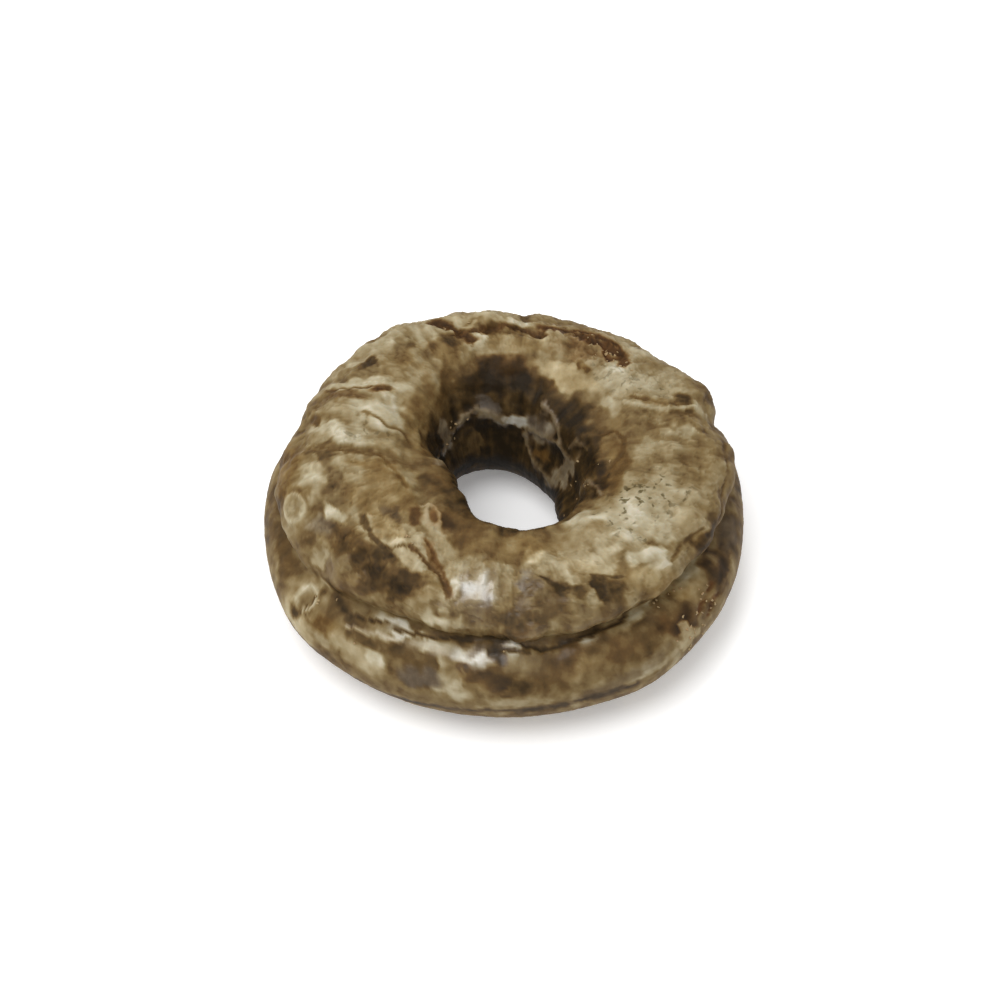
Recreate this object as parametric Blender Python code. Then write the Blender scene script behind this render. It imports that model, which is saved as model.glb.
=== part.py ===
# A glazed ring doughnut of cake dough, in one solid.
#
# A narrow crown stands on a wider skirt, and a deep crease runs round the outside where they meet.
# The hole is widest at its mouth, with a low ridge half way down and its throat below that.
# Every point lies on a ray from the core, a level circle inside the dough. A ray has two angles:
# turn goes round the hole from +X, and sweep goes round the section, from straight out,
# over the top at 90 degrees and down the hole, to the underside at 270 degrees.
# The doughnut rests on z = 0 with the hole's axis on Z. Lengths are in metres.

import math

import bpy
import numpy as np

CORE_RADIUS = 0.0270
CORE_HEIGHT = 0.0155

CROWN_RADIUS = 0.0375
CROWN_WAIST = 0.0202  # height of the crown's widest line
CROWN_TOP = 0.0282
CROWN_LOWER_HALF = 0.0070
MOUTH_RADIUS = 0.0133

SKIRT_RADIUS = 0.0428
SKIRT_WAIST = 0.0103
SKIRT_UPPER_HALF = 0.0108
SKIRT_LOWER_HALF = 0.0116  # past the table, so that the base is flat
THROAT_RADIUS = 0.0106

CREASE_BLEND = 0.0008
CREASE_DEPTH = 0.0016
CREASE_REACH = 0.0013
HOLE_BLEND = 0.0045
RIDGE_HEIGHT = 0.0006
RIDGE_REACH = 0.0022
RIDGE_SWEEP = 168
BASE_ROUNDING = 0.0006
SIDE_CHANGE = 3  # how fast the hole's rules give way to the outside's over the top

TURN_STEPS = 140
SWEEP_STEPS = 42
CREASE_ROW = 3  # the row of points that follows the crease
CREASE_FOLLOWING = 0.6  # how far from the crease, in radians, rows still bend with it
CROWD_AT_CREASE = (1.1, 0.33)  # the rows' extra crowding, and over how many radians
SPREAD_UNDERNEATH = (0.55, 0.7)

# Each wave is (height, lobes, turn of a crest in degrees). They make the ring uneven, as hand-cut dough is.
CROWN_WAVES = [(0.0021, 2, 6), (-0.0003, 3, 2), (0.0002, 1, 84), (0.0005, 4, 16)]
TOP_WAVES = [(0.0014, 1, 133), (0.0008, 2, -14)]
SKIRT_WAVES = [(-0.0006, 2, -18), (-0.0008, 3, 26)]
HOLE_WAVES = [(-0.0017, 2, 42), (-0.0004, 1, -86), (0.0003, 3, -16)]

# Where the crown's lower edge sags over the skirt, or is drawn up: (turn, half width, lift).
EDGE_SAGS = [(-84, 13, -0.0020), (-62, 10, 0.0016), (-98, 8, -0.0010), (-148, 14, -0.0022), (-36, 16, 0.0012)]

# Swellings and hollows of the dough. turn and sweep place the middle, along is its half length in
# the direction of the flow, across its half width, tilt turns it in degrees, and lift is its height.
SWELLINGS = {
    "back flap": dict(turn=104, sweep=70, along=0.0045, across=0.0110, tilt=0, lift=0.0006),
    "back flap's left lip": dict(turn=110, sweep=60, along=0.0030, across=0.0024, tilt=0, lift=0.0009),
    "right lobe": dict(turn=25, sweep=42, along=0.0040, across=0.0048, tilt=0, lift=0.0013),
    "right lobe's notch": dict(turn=16, sweep=28, along=0.0040, across=0.0022, tilt=0, lift=-0.0013),
    "left back shoulder": dict(turn=132, sweep=60, along=0.0050, across=0.0070, tilt=0, lift=0.0014),
    "front left pillow": dict(turn=-133, sweep=62, along=0.0070, across=0.0075, tilt=10, lift=0.0008),
    "front roll": dict(turn=-92, sweep=70, along=0.0070, across=0.0085, tilt=0, lift=0.0007),
    "front left lump": dict(turn=-112, sweep=50, along=0.0036, across=0.0032, tilt=0, lift=0.0009),
    "front right roll": dict(turn=-58, sweep=62, along=0.0060, across=0.0055, tilt=0, lift=0.0006),
    "right shoulder": dict(turn=-20, sweep=56, along=0.0060, across=0.0080, tilt=0, lift=0.0006),
    "front left furrow": dict(turn=-114, sweep=92, along=0.0085, across=0.0024, tilt=-38, lift=-0.0009),
    "left furrow": dict(turn=-146, sweep=84, along=0.0050, across=0.0023, tilt=-20, lift=-0.0007),
    "hole's left knob": dict(turn=-135, sweep=158, along=0.0042, across=0.0034, tilt=0, lift=0.0021),
    "hole's left lump": dict(turn=-168, sweep=160, along=0.0050, across=0.0045, tilt=0, lift=0.0030),
    "hole's right knob": dict(turn=-7, sweep=192, along=0.0050, across=0.0045, tilt=0, lift=0.0024),
    "skirt's front roll": dict(turn=-93, sweep=6, along=0.0030, across=0.0090, tilt=0, lift=0.0005),
    "skirt's front dent": dict(turn=-78, sweep=12, along=0.0026, across=0.0030, tilt=0, lift=-0.0006),
    "left shoulder's hollow": dict(turn=166, sweep=35, along=0.0060, across=0.0080, tilt=0, lift=-0.0012),
    "right shoulder's ridge": dict(turn=3, sweep=40, along=0.0050, across=0.0050, tilt=0, lift=0.0008),
    "back right shoulder": dict(turn=58, sweep=58, along=0.0060, across=0.0110, tilt=0, lift=0.0006),
    "skirt's left side": dict(turn=172, sweep=-18, along=0.0070, across=0.0100, tilt=0, lift=0.0008),
    "skirt's right side": dict(turn=9, sweep=-10, along=0.0070, across=0.0070, tilt=0, lift=0.0007),
    "skirt's right bulge": dict(turn=-56, sweep=-20, along=0.0060, across=0.0070, tilt=0, lift=0.0007),
    "skirt's left bulge": dict(turn=-143, sweep=-4, along=0.0060, across=0.0090, tilt=0, lift=0.0012),
    "skirt's right scar": dict(turn=-36, sweep=-5, along=0.0050, across=0.0016, tilt=0, lift=-0.0007),
    "first back crack": dict(turn=108, sweep=84, along=0.0018, across=0.0036, tilt=18, lift=-0.0012),
    "second back crack": dict(turn=87, sweep=91, along=0.0016, across=0.0058, tilt=-4, lift=-0.0009),
    "third back crack": dict(turn=54, sweep=79, along=0.0019, across=0.0070, tilt=-6, lift=-0.0011),
}

# Where a bubble in the glaze stands, or has burst and left a pit with a rim, at RIM_PLACE of its radius.
RIM_PLACE = 1.15
RIM_WIDTH = 0.35
BUBBLES = {
    "shut bubble": dict(turn=-163, sweep=37, radius=0.0022, lift=0.0008, rim=0),
    "burst bubble": dict(turn=-145, sweep=3, radius=0.0021, lift=-0.0010, rim=0.0006),
}

# Pleats that the flowing glaze and the rolled dough leave over the crown.
PLEATS = 22
PLEAT_SEED = 5
PLEAT_HEIGHT = 0.00035
PLEAT_LENGTH = 0.0065
PLEAT_WIDTH = 0.0021

CRUST_COLOUR = (0.21, 0.13, 0.06, 1)


def clear_scene():
    for thing in list(bpy.data.objects):
        bpy.data.objects.remove(thing)


def waves(turn, terms):
    return sum(height * np.cos(lobes * (turn - math.radians(crest))) for height, lobes, crest in terms)


def bell(value):
    return np.exp(-(value**2))


def wrapped(angle):
    return (angle + math.pi) % (2 * math.pi) - math.pi


def outside_share(sweep):
    """From 0 in the hole to 1 on the outside."""
    return 0.5 + 0.5 * np.tanh(SIDE_CHANGE * np.cos(sweep))


def smooth_max(a, b, blend):
    """The larger of a and b, rounded over where they are within blend of each other."""
    share = np.clip(0.5 + 0.5 * (a - b) / blend, 0, 1)
    return b + (a - b) * share + blend * share * (1 - share)


def reach_of_ellipse(inner, outer, middle_height, half_height, out, up):
    """How far a ray from the core goes before it meets an ellipse that spans inner to outer."""
    half_width = (outer - inner) / 2
    x = (CORE_RADIUS - (outer + inner) / 2) / half_width
    z = (CORE_HEIGHT - middle_height) / half_height
    dx = out / half_width
    dz = up / half_height
    square = dx**2 + dz**2
    half = x * dx + z * dz
    return (np.sqrt(np.maximum(half**2 - square * (x**2 + z**2 - 1), 0)) - half) / square


def reach_of_roll(inner, outer, waist, upper_half, lower_half, sweep):
    """A roll of dough has two half ellipses for its section, joined at its waist."""
    out, up = np.cos(sweep), np.sin(sweep)
    below = reach_of_ellipse(inner, outer, waist, lower_half, out, up)
    above = reach_of_ellipse(inner, outer, waist, upper_half, out, up)
    return np.where(CORE_HEIGHT + below * up < waist, below, above)


def sag_of_edge(turn):
    spans = [(wrapped(turn - math.radians(at)) / math.radians(half), lift) for at, half, lift in EDGE_SAGS]
    return sum(lift * bell(span) for span, lift in spans)


def crown_reach(turn, sweep):
    mouth = MOUTH_RADIUS + waves(turn, HOLE_WAVES)
    edge = CROWN_RADIUS + waves(turn, CROWN_WAVES)
    waist = CROWN_WAIST + sag_of_edge(turn) * outside_share(sweep)
    top = CROWN_TOP + waves(turn, TOP_WAVES)
    return reach_of_roll(mouth, edge, waist, top - waist, CROWN_LOWER_HALF, sweep)


def skirt_reach(turn, sweep):
    throat = THROAT_RADIUS + waves(turn, HOLE_WAVES)
    edge = SKIRT_RADIUS + waves(turn, SKIRT_WAVES)
    return reach_of_roll(throat, edge, SKIRT_WAIST, SKIRT_UPPER_HALF, SKIRT_LOWER_HALF, sweep)


def crease_sweep(turn):
    """The angle at which the crown's underside meets the skirt outside, found by halving."""
    low = np.full_like(turn, math.radians(-20))
    high = np.full_like(turn, math.radians(50))
    for _ in range(24):
        middle = (low + high) / 2
        above = crown_reach(turn, middle) > skirt_reach(turn, middle)
        low = np.where(above, low, middle)
        high = np.where(above, middle, high)
    return (low + high) / 2


def plain_reach(turn, sweep):
    """The section without its small forms: the crown and the skirt, with the crease and the ridge."""
    blend = HOLE_BLEND + (CREASE_BLEND - HOLE_BLEND) * outside_share(sweep)
    reach = smooth_max(crown_reach(turn, sweep), skirt_reach(turn, sweep), blend)
    from_crease = wrapped(sweep - crease_sweep(turn)) * reach
    from_ridge = wrapped(sweep - math.radians(RIDGE_SWEEP)) * reach
    crease = CREASE_DEPTH * bell(from_crease / CREASE_REACH)
    ridge = RIDGE_HEIGHT * bell(from_ridge / RIDGE_REACH)
    return reach - crease + ridge


def swelling(turn, sweep, form):
    """A smooth rise or hollow round one place, longer one way than the other."""
    reach = plain_reach(np.array(math.radians(form["turn"])), np.array(math.radians(form["sweep"])))
    from_axis = CORE_RADIUS + reach * math.cos(math.radians(form["sweep"]))
    across = wrapped(turn - math.radians(form["turn"])) * from_axis
    along = wrapped(sweep - math.radians(form["sweep"])) * reach
    tilt = math.radians(form["tilt"])
    x = (along * math.cos(tilt) + across * math.sin(tilt)) / form["along"]
    y = (across * math.cos(tilt) - along * math.sin(tilt)) / form["across"]
    return form["lift"] * bell(np.hypot(x, y))


def bubble(turn, sweep, form):
    size = form["radius"]
    place = dict(turn=form["turn"], sweep=form["sweep"], along=size, across=size, tilt=0, lift=1)
    distance = np.sqrt(-np.log(np.maximum(swelling(turn, sweep, place), 1e-9)))
    dome = np.clip(1 - distance**2, 0, 1)
    rim = bell((distance - RIM_PLACE) / RIM_WIDTH)
    return form["lift"] * dome + form["rim"] * rim


def pleats(turn, sweep):
    draw = np.random.default_rng(PLEAT_SEED)
    total = 0
    for number in range(PLEATS):
        form = dict(
            turn=360 * (number + draw.uniform(-0.4, 0.4)) / PLEATS,
            sweep=draw.uniform(62, 112),
            along=PLEAT_LENGTH * draw.uniform(0.7, 1.2),
            across=PLEAT_WIDTH * draw.uniform(0.9, 1.5),
            tilt=draw.uniform(-14, 14),
            lift=PLEAT_HEIGHT * draw.uniform(-1, 1),
        )
        total = total + swelling(turn, sweep, form)
    return total


def sweep_angles(turn):
    """Each turn's rays: crowded near the crease, with one on it, and spread on the flat underside."""
    crease = crease_sweep(turn)
    middle = float(np.mean(crease))
    fine = np.linspace(middle, middle + 2 * math.pi, 2001)
    crowding = 1 + CROWD_AT_CREASE[0] * bell(wrapped(fine - middle) / CROWD_AT_CREASE[1])
    crowding -= SPREAD_UNDERNEATH[0] * bell(wrapped(fine + math.pi / 2) / SPREAD_UNDERNEATH[1])
    share = np.concatenate([[0], np.cumsum((crowding[1:] + crowding[:-1]) / 2)])
    rows = np.arange(SWEEP_STEPS) - CREASE_ROW
    angles = np.interp(rows % SWEEP_STEPS / SWEEP_STEPS, share / share[-1], fine)
    following = bell(wrapped(angles - middle) / CREASE_FOLLOWING)
    return angles[None, :] + (crease[:, None] - middle) * following[None, :]


def surface_points():
    """The doughnut's points, in a grid of turn by sweep, with the middle of their box on the axis."""
    turns = np.arange(TURN_STEPS) * 2 * math.pi / TURN_STEPS
    sweep = sweep_angles(turns)
    turn = np.broadcast_to(turns[:, None], sweep.shape)
    reach = plain_reach(turn, sweep) + pleats(turn, sweep)
    for form in SWELLINGS.values():
        reach = reach + swelling(turn, sweep, form)
    for form in BUBBLES.values():
        reach = reach + bubble(turn, sweep, form)
    from_axis = CORE_RADIUS + reach * np.cos(sweep)
    height = CORE_HEIGHT + reach * np.sin(sweep)
    height = smooth_max(height, np.zeros_like(height), BASE_ROUNDING)
    points = np.stack([from_axis * np.cos(turn), from_axis * np.sin(turn), height], axis=-1)
    box_middle = (points.min(axis=(0, 1)) + points.max(axis=(0, 1))) / 2
    return points - [box_middle[0], box_middle[1], 0]


def crust_material():
    material = bpy.data.materials.new("glazed crust")
    material.use_nodes = True
    shader = material.node_tree.nodes["Principled BSDF"]
    shader.inputs["Base Color"].default_value = CRUST_COLOUR
    shader.inputs["Roughness"].default_value = 0.4
    shader.inputs["Metallic"].default_value = 0
    return material


def make_doughnut():
    """A torus with a point for every ray, each point then moved to the doughnut's surface."""
    bpy.ops.mesh.primitive_torus_add(major_segments=TURN_STEPS, minor_segments=SWEEP_STEPS)
    doughnut = bpy.context.object
    doughnut.name = "doughnut"
    doughnut.data.vertices.foreach_set("co", surface_points().ravel())
    doughnut.data.update()
    doughnut.data.materials.append(crust_material())
    doughnut.data.shade_smooth()


clear_scene()
make_doughnut()
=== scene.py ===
import math

import bpy
import numpy as np
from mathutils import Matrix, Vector


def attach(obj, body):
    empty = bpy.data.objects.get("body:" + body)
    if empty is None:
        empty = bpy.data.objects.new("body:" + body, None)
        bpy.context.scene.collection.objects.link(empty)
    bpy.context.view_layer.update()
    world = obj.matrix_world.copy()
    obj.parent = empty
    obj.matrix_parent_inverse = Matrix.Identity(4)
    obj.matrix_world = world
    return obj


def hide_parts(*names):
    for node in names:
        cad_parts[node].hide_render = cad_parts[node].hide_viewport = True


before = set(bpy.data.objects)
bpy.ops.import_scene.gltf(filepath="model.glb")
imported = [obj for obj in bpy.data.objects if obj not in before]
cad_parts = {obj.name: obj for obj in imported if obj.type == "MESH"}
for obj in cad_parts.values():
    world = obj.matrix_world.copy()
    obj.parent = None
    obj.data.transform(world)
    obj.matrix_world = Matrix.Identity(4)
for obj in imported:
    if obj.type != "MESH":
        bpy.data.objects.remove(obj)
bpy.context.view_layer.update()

mm = 0.001

# The core is a circle inside the dough, and every point of the skin lies on a straight ray from it.
# Places on the skin are (turn, sweep) in degrees. Turn goes round the ring, with 0 at the photo's
# right and 90 at its back. Sweep goes round the section, with 0 outward, 90 up and 180 in the hole.
core = {
    "centre": Vector((0.296 * mm, -0.765 * mm, 15.5 * mm)),
    "radius": 27 * mm,
}


# Helpers

def linearColour(hexColour):
    channels = [int(hexColour[i:i + 2], 16) / 255 for i in (1, 3, 5)]
    return [c / 12.92 if c <= 0.04045 else ((c + 0.055) / 1.055) ** 2.4 for c in channels] + [1]


def addNode(tree, kind, inputs=None, **settings):
    # a socket among the inputs is linked, any other value is set
    node = tree.nodes.new(kind)
    for name, value in settings.items():
        setattr(node, name, value)
    for name, value in (inputs or {}).items():
        if isinstance(value, bpy.types.NodeSocket):
            tree.links.new(value, node.inputs[name])
        else:
            node.inputs[name].default_value = value
    return node


def addVectorMath(tree, operation, inputs):
    return addNode(tree, "ShaderNodeVectorMath", inputs, operation=operation).outputs[0]


def addMath(tree, operation, inputs):
    return addNode(tree, "ShaderNodeMath", inputs, operation=operation).outputs[0]


def addNoise(tree, size, inputs):
    # noise in lumps of about the given size
    return addNode(tree, "ShaderNodeTexNoise", {"Scale": 1 / size, **inputs}).outputs


def startTree(name, inputNames):
    # a geometry tree with its named inputs, given by the kind of their sockets
    tree = bpy.data.node_groups.new(name, "GeometryNodeTree")
    tree.interface.new_socket("Geometry", in_out="OUTPUT", socket_type="NodeSocketGeometry")
    for kind, names in inputNames.items():
        for inputName in names:
            tree.interface.new_socket(inputName, in_out="INPUT", socket_type=kind)
    return tree, addNode(tree, "NodeGroupInput").outputs


def endTree(tree, given, geometry):
    whole = addNode(tree, "GeometryNodeRealizeInstances", {"Geometry": geometry})
    dressed = addNode(tree, "GeometryNodeSetMaterial",
                      {"Geometry": whole.outputs[0], "Material": given["Material"]})
    addNode(tree, "NodeGroupOutput", {"Geometry": dressed.outputs[0]})
    return tree


def wrapDegrees(angle):
    return (angle + 180) % 360 - 180


def smoothStep(start, end, value):
    t = np.clip((value - start) / (end - start), 0, 1)
    return t * t * (3 - 2 * t)


def applyTree(host, tree, values):
    # runs the node tree on the host object and keeps the result as a plain mesh
    modifier = host.modifiers.new(tree.name, "NODES")
    modifier.node_group = tree
    sockets = {item.name: item for item in tree.interface.items_tree if item.in_out == "INPUT"}
    for name, value in values.items():
        modifier[sockets[name].identifier] = value
    graph = bpy.context.evaluated_depsgraph_get()
    mesh = bpy.data.meshes.new_from_object(host.evaluated_get(graph), depsgraph=graph)
    host.modifiers.remove(modifier)
    mesh.name = host.name
    return mesh


def newPiece(name, mesh):
    piece = bpy.data.objects.new(name, mesh)
    bpy.context.scene.collection.objects.link(piece)
    return piece


# Ring: a round ring whose points are moved along their rays onto the CAD dough

ringSettings = {
    "Core centre": core["centre"],
    "Core radius": core["radius"],
    "Turn steps": 480,
    "Sweep steps": 204,
    "Start radius": 6 * mm,
    "Start lift": 2.4 * mm,      # raises the first section, which packs the points closer on top
    "Even passes": 6,            # rounds off the flat faces of the CAD solid
    "Mean radius": 13 * mm,      # of the section
    "Streak stretch": 4.0,       # streaks in the glaze run down the dough, this much longer than wide
    "Streak bend": 3.5 * mm,     # how far they wander from straight
}

# Noise fields kept on the ring: size of a lump, octaves, roughness, and whether it follows the streaks
ringNoises = {
    "ragged": [2.6 * mm, 1.5, 0.5, False],
    "frayed": [1.0 * mm, 1, 0.5, False],
    "lumps": [6.5 * mm, 1, 0.5, False],
    "mottle": [4.0 * mm, 1.5, 0.5, False],
    "streaks": [2.8 * mm, 1, 0.5, True],
    "grain": [0.95 * mm, 2, 0.55, False],
}


def storeField(tree, geometry, name, value):
    return addNode(tree, "GeometryNodeStoreNamedAttribute",
                   {"Geometry": geometry, "Name": name, "Value": value},
                   data_type="FLOAT_VECTOR", domain="POINT").outputs[0]


def buildRingTree():
    tree, given = startTree("dough ring", {
        "NodeSocketObject": ["Dough"],
        "NodeSocketVector": ["Core centre"],
        "NodeSocketFloat": ["Core radius", "Start radius", "Start lift", "Mean radius",
                            "Streak stretch", "Streak bend"],
        "NodeSocketInt": ["Turn steps", "Sweep steps", "Even passes"],
        "NodeSocketMaterial": ["Material"],
    })
    path = addNode(tree, "GeometryNodeCurvePrimitiveCircle",
                   {"Resolution": given["Turn steps"], "Radius": given["Core radius"]})
    section = addNode(tree, "GeometryNodeCurvePrimitiveCircle",
                      {"Resolution": given["Sweep steps"], "Radius": given["Start radius"]})
    ring = addNode(tree, "GeometryNodeCurveToMesh",
                   {"Curve": path.outputs[0], "Profile Curve": section.outputs[0]})
    lift = addNode(tree, "ShaderNodeCombineXYZ", {"Z": given["Start lift"]})
    raised = addNode(tree, "GeometryNodeSetPosition",
                     {"Geometry": ring.outputs[0], "Offset": lift.outputs[0]})

    # the ray of each point: out of the core circle through the point
    place = addNode(tree, "GeometryNodeInputPosition").outputs[0]
    flat = addVectorMath(tree, "MULTIPLY", {0: place, 1: (1, 1, 0)})
    outward = addVectorMath(tree, "NORMALIZE", {0: flat})
    start = addVectorMath(tree, "SCALE", {0: outward, "Scale": given["Core radius"]})
    along = addVectorMath(tree, "SUBTRACT", {0: place, 1: start})
    ray = addVectorMath(tree, "NORMALIZE", {0: along})
    centred = addVectorMath(tree, "ADD", {0: start, 1: given["Core centre"]})

    # flow: place round the ring, and height above the base measured over the section
    rayParts = addNode(tree, "ShaderNodeSeparateXYZ", {0: ray})
    reachOut = addNode(tree, "ShaderNodeVectorMath", {0: ray, 1: outward}, operation="DOT_PRODUCT")
    angle = addMath(tree, "ARCTAN2", {0: reachOut.outputs["Value"], 1: rayParts.outputs["Z"]})
    shorter = addMath(tree, "DIVIDE", {0: given["Mean radius"], 1: given["Streak stretch"]})
    arc = addMath(tree, "MULTIPLY", {0: angle, 1: shorter})
    arcUp = addNode(tree, "ShaderNodeCombineXYZ", {"Z": arc})
    straight = addVectorMath(tree, "ADD", {0: start, 1: arcUp.outputs[0]})
    wander = addNoise(tree, 7 * mm, {"Vector": straight})
    middled = addVectorMath(tree, "SUBTRACT", {0: wander["Color"], 1: (0.5, 0.5, 0.5)})
    flow = addVectorMath(tree, "MULTIPLY_ADD", {0: middled, 1: given["Streak bend"], 2: straight})
    kept = storeField(tree, raised.outputs[0], "flow", flow)

    # the ray meets the CAD dough, and its length is evened out
    dough = addNode(tree, "GeometryNodeObjectInfo", {"Object": given["Dough"]}, transform_space="RELATIVE")
    hit = addNode(tree, "GeometryNodeRaycast",
                  {"Target Geometry": dough.outputs["Geometry"], "Source Position": centred,
                   "Ray Direction": ray, "Ray Length": 60 * mm})
    even = addNode(tree, "GeometryNodeBlurAttribute",
                   {"Value": hit.outputs["Hit Distance"], "Iterations": given["Even passes"]},
                   data_type="FLOAT")
    step = addVectorMath(tree, "SCALE", {0: ray, "Scale": even.outputs[0]})
    landed = addVectorMath(tree, "ADD", {0: centred, 1: step})
    skin = addNode(tree, "GeometryNodeSetPosition", {"Geometry": kept, "Position": landed})

    # noise fields
    latest = skin.outputs[0]
    storedFlow = addNode(tree, "GeometryNodeInputNamedAttribute", {"Name": "flow"}, data_type="FLOAT_VECTOR")
    for name, (size, octaves, roughness, streaked) in ringNoises.items():
        where = storedFlow.outputs[0] if streaked else place
        noise = addNoise(tree, size, {"Vector": where, "Detail": octaves, "Roughness": roughness})
        latest = storeField(tree, latest, name, noise["Color"])
    return endTree(tree, given, latest)


def readField(mesh, name):
    values = np.empty(len(mesh.vertices) * 3)
    mesh.attributes[name].data.foreach_get("vector", values)
    return values.reshape(-1, 3)


def makeRing():
    host = newPiece("glazedRing", bpy.data.meshes.new("empty"))
    values = dict(ringSettings)
    values["Core centre"] = list(core["centre"])
    values["Dough"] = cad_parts["doughnut"]
    values["Material"] = glazedDoughMaterial()
    host.data = applyTree(host, buildRingTree(), values)
    return host


def ringGrid(mesh):
    # places of the ring's points as grids, with one row for each turn step
    shape = (ringSettings["Turn steps"], ringSettings["Sweep steps"])
    places = np.empty(len(mesh.vertices) * 3)
    mesh.vertices.foreach_get("co", places)
    places = places.reshape(shape + (3,))
    rel = places - np.array(core["centre"])
    fromAxis = np.hypot(rel[..., 0], rel[..., 1])
    grid = {
        "place": places,
        "turn": np.degrees(np.arctan2(rel[..., 1], rel[..., 0])),
        "sweep": np.degrees(np.arctan2(rel[..., 2], fromAxis - core["radius"])),
        "fromAxis": fromAxis / mm,
        "reach": np.hypot(rel[..., 2], fromAxis - core["radius"]) / mm,
    }
    for name in ringNoises:
        values = readField(mesh, name)
        grid[name] = ((values - values.mean(0)) / values.std(0)).reshape(shape + (3,))
    return grid


def gridNormals(places):
    roundWay = np.roll(places, -1, 0) - np.roll(places, 1, 0)
    sectionWay = np.roll(places, -1, 1) - np.roll(places, 1, 1)
    normals = np.cross(roundWay, sectionWay)
    normals /= np.linalg.norm(normals, axis=2, keepdims=True)
    away = places - np.array(core["centre"])
    outward = away * [1, 1, 0]
    outward *= core["radius"] / np.linalg.norm(outward, axis=2, keepdims=True)
    if np.sum(normals * (away - outward)) < 0:
        normals = -normals
    return normals


# Look of the skin: cover runs from 0, bare dark dough, to 1, thick white glaze. Some patches and lines
# also put painted shade and painted highlights into the cover

baseCover = {
    # sweep: cover
    -90: 0.42, -45: 0.5, -12: 0.48, 8: 0.38, 18: 0.42, 32: 0.46, 55: 0.56,
    # inside the hole, sweep 150 to 235, the cover is lowest: dark dough with painted shade of the hole in it
    85: 0.66, 112: 0.6, 132: 0.42, 150: 0.16, 175: 0.1, 200: 0.08, 235: 0.22, 270: 0.42,
}

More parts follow.
